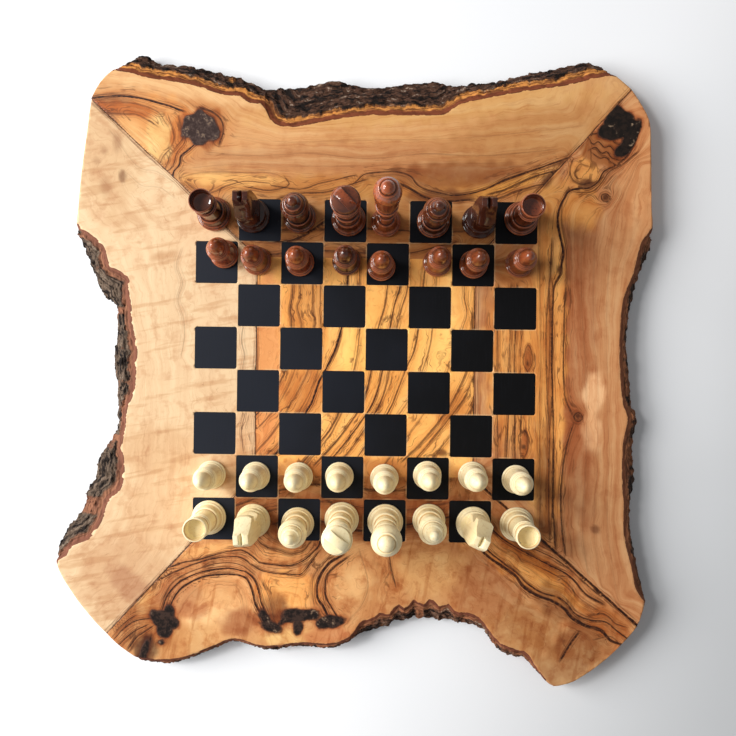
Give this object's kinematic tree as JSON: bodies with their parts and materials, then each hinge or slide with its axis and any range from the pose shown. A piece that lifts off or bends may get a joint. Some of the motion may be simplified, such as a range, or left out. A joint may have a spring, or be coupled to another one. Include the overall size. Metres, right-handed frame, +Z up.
{
  "type": "chessboard",
  "caption": "Olive wood chessboard with live bark edges and inlaid black squares, set up with light and dark turned chess pieces that lift off.",
  "frame": {"origin": "on the underside of the board, below the centre of the playing field", "axes": "+Z up out of the playing face, +X from the a file to the h file, +Y from the first rank (light pieces) to the eighth rank (dark pieces)"},
  "size_m": [0.4219, 0.4443, 0.126],
  "materials": {
    "panel_wood": "oiled, striped",
    "north_slab_wood": "oiled, dark bark",
    "east_slab_wood": "oiled, banded",
    "south_slab_wood": "oiled, burred",
    "west_slab_wood": "oiled, pale and curly",
    "black_inlay": "matt black",
    "dark_lacquered_wood": "gloss lacquer",
    "light_boxwood": "satin"
  },
  "bodies": {
    "board": {"centre_panel": "panel_wood", "north_slab": "north_slab_wood", "east_slab": "east_slab_wood", "south_slab": "south_slab_wood", "west_slab": "west_slab_wood", "black_squares_rank_1": "black_inlay", "black_squares_rank_2": "black_inlay", "black_squares_rank_3": "black_inlay", "black_squares_rank_4": "black_inlay", "black_squares_rank_5": "black_inlay", "black_squares_rank_6": "black_inlay", "black_squares_rank_7": "black_inlay", "black_squares_rank_8": "black_inlay"},
    "dark_rook_a8": {"dark_rook_a8": "dark_lacquered_wood"},
    "dark_knight_b8": {"dark_knight_b8": "dark_lacquered_wood"},
    "dark_bishop_c8": {"dark_bishop_c8": "dark_lacquered_wood"},
    "dark_queen_d8": {"dark_queen_d8": "dark_lacquered_wood"},
    "dark_king_e8": {"dark_king_e8": "dark_lacquered_wood"},
    "dark_bishop_f8": {"dark_bishop_f8": "dark_lacquered_wood"},
    "dark_knight_g8": {"dark_knight_g8": "dark_lacquered_wood"},
    "dark_rook_h8": {"dark_rook_h8": "dark_lacquered_wood"},
    "dark_pawn_a7": {"dark_pawn_a7": "dark_lacquered_wood"},
    "dark_pawn_b7": {"dark_pawn_b7": "dark_lacquered_wood"},
    "dark_pawn_c7": {"dark_pawn_c7": "dark_lacquered_wood"},
    "dark_pawn_d7": {"dark_pawn_d7": "dark_lacquered_wood"},
    "dark_pawn_e7": {"dark_pawn_e7": "dark_lacquered_wood"},
    "dark_pawn_f7": {"dark_pawn_f7": "dark_lacquered_wood"},
    "dark_pawn_g7": {"dark_pawn_g7": "dark_lacquered_wood"},
    "dark_pawn_h7": {"dark_pawn_h7": "dark_lacquered_wood"},
    "light_pawn_a2": {"light_pawn_a2": "light_boxwood"},
    "light_pawn_b2": {"light_pawn_b2": "light_boxwood"},
    "light_pawn_c2": {"light_pawn_c2": "light_boxwood"},
    "light_pawn_d2": {"light_pawn_d2": "light_boxwood"},
    "light_pawn_e2": {"light_pawn_e2": "light_boxwood"},
    "light_pawn_f2": {"light_pawn_f2": "light_boxwood"},
    "light_pawn_g2": {"light_pawn_g2": "light_boxwood"},
    "light_pawn_h2": {"light_pawn_h2": "light_boxwood"},
    "light_rook_a1": {"light_rook_a1": "light_boxwood"},
    "light_knight_b1": {"light_knight_b1": "light_boxwood"},
    "light_bishop_c1": {"light_bishop_c1": "light_boxwood"},
    "light_queen_d1": {"light_queen_d1": "light_boxwood"},
    "light_king_e1": {"light_king_e1": "light_boxwood"},
    "light_bishop_f1": {"light_bishop_f1": "light_boxwood"},
    "light_knight_g1": {"light_knight_g1": "light_boxwood"},
    "light_rook_h1": {"light_rook_h1": "light_boxwood"}
  },
  "joints": [
    {"name": "dark_rook_a8_lift", "type": "slide", "parent": "board", "child": "dark_rook_a8", "axis": [0, 0, 1], "range_m": [0, 0.08]},
    {"name": "dark_knight_b8_lift", "type": "slide", "parent": "board", "child": "dark_knight_b8", "axis": [0, 0, 1], "range_m": [0, 0.08]},
    {"name": "dark_bishop_c8_lift", "type": "slide", "parent": "board", "child": "dark_bishop_c8", "axis": [0, 0, 1], "range_m": [0, 0.08]},
    {"name": "dark_queen_d8_lift", "type": "slide", "parent": "board", "child": "dark_queen_d8", "axis": [0, 0, 1], "range_m": [0, 0.08]},
    {"name": "dark_king_e8_lift", "type": "slide", "parent": "board", "child": "dark_king_e8", "axis": [0, 0, 1], "range_m": [0, 0.08]},
    {"name": "dark_bishop_f8_lift", "type": "slide", "parent": "board", "child": "dark_bishop_f8", "axis": [0, 0, 1], "range_m": [0, 0.08]},
    {"name": "dark_knight_g8_lift", "type": "slide", "parent": "board", "child": "dark_knight_g8", "axis": [0, 0, 1], "range_m": [0, 0.08]},
    {"name": "dark_rook_h8_lift", "type": "slide", "parent": "board", "child": "dark_rook_h8", "axis": [0, 0, 1], "range_m": [0, 0.08]},
    {"name": "dark_pawn_a7_lift", "type": "slide", "parent": "board", "child": "dark_pawn_a7", "axis": [0, 0, 1], "range_m": [0, 0.08]},
    {"name": "dark_pawn_b7_lift", "type": "slide", "parent": "board", "child": "dark_pawn_b7", "axis": [0, 0, 1], "range_m": [0, 0.08]},
    {"name": "dark_pawn_c7_lift", "type": "slide", "parent": "board", "child": "dark_pawn_c7", "axis": [0, 0, 1], "range_m": [0, 0.08]},
    {"name": "dark_pawn_d7_lift", "type": "slide", "parent": "board", "child": "dark_pawn_d7", "axis": [0, 0, 1], "range_m": [0, 0.08]},
    {"name": "dark_pawn_e7_lift", "type": "slide", "parent": "board", "child": "dark_pawn_e7", "axis": [0, 0, 1], "range_m": [0, 0.08]},
    {"name": "dark_pawn_f7_lift", "type": "slide", "parent": "board", "child": "dark_pawn_f7", "axis": [0, 0, 1], "range_m": [0, 0.08]},
    {"name": "dark_pawn_g7_lift", "type": "slide", "parent": "board", "child": "dark_pawn_g7", "axis": [0, 0, 1], "range_m": [0, 0.08]},
    {"name": "dark_pawn_h7_lift", "type": "slide", "parent": "board", "child": "dark_pawn_h7", "axis": [0, 0, 1], "range_m": [0, 0.08]},
    {"name": "light_pawn_a2_lift", "type": "slide", "parent": "board", "child": "light_pawn_a2", "axis": [0, 0, 1], "range_m": [0, 0.08]},
    {"name": "light_pawn_b2_lift", "type": "slide", "parent": "board", "child": "light_pawn_b2", "axis": [0, 0, 1], "range_m": [0, 0.08]},
    {"name": "light_pawn_c2_lift", "type": "slide", "parent": "board", "child": "light_pawn_c2", "axis": [0, 0, 1], "range_m": [0, 0.08]},
    {"name": "light_pawn_d2_lift", "type": "slide", "parent": "board", "child": "light_pawn_d2", "axis": [0, 0, 1], "range_m": [0, 0.08]},
    {"name": "light_pawn_e2_lift", "type": "slide", "parent": "board", "child": "light_pawn_e2", "axis": [0, 0, 1], "range_m": [0, 0.08]},
    {"name": "light_pawn_f2_lift", "type": "slide", "parent": "board", "child": "light_pawn_f2", "axis": [0, 0, 1], "range_m": [0, 0.08]},
    {"name": "light_pawn_g2_lift", "type": "slide", "parent": "board", "child": "light_pawn_g2", "axis": [0, 0, 1], "range_m": [0, 0.08]},
    {"name": "light_pawn_h2_lift", "type": "slide", "parent": "board", "child": "light_pawn_h2", "axis": [0, 0, 1], "range_m": [0, 0.08]},
    {"name": "light_rook_a1_lift", "type": "slide", "parent": "board", "child": "light_rook_a1", "axis": [0, 0, 1], "range_m": [0, 0.08]},
    {"name": "light_knight_b1_lift", "type": "slide", "parent": "board", "child": "light_knight_b1", "axis": [0, 0, 1], "range_m": [0, 0.08]},
    {"name": "light_bishop_c1_lift", "type": "slide", "parent": "board", "child": "light_bishop_c1", "axis": [0, 0, 1], "range_m": [0, 0.08]},
    {"name": "light_queen_d1_lift", "type": "slide", "parent": "board", "child": "light_queen_d1", "axis": [0, 0, 1], "range_m": [0, 0.08]},
    {"name": "light_king_e1_lift", "type": "slide", "parent": "board", "child": "light_king_e1", "axis": [0, 0, 1], "range_m": [0, 0.08]},
    {"name": "light_bishop_f1_lift", "type": "slide", "parent": "board", "child": "light_bishop_f1", "axis": [0, 0, 1], "range_m": [0, 0.08]},
    {"name": "light_knight_g1_lift", "type": "slide", "parent": "board", "child": "light_knight_g1", "axis": [0, 0, 1], "range_m": [0, 0.08]},
    {"name": "light_rook_h1_lift", "type": "slide", "parent": "board", "child": "light_rook_h1", "axis": [0, 0, 1], "range_m": [0, 0.08]}
  ]
}
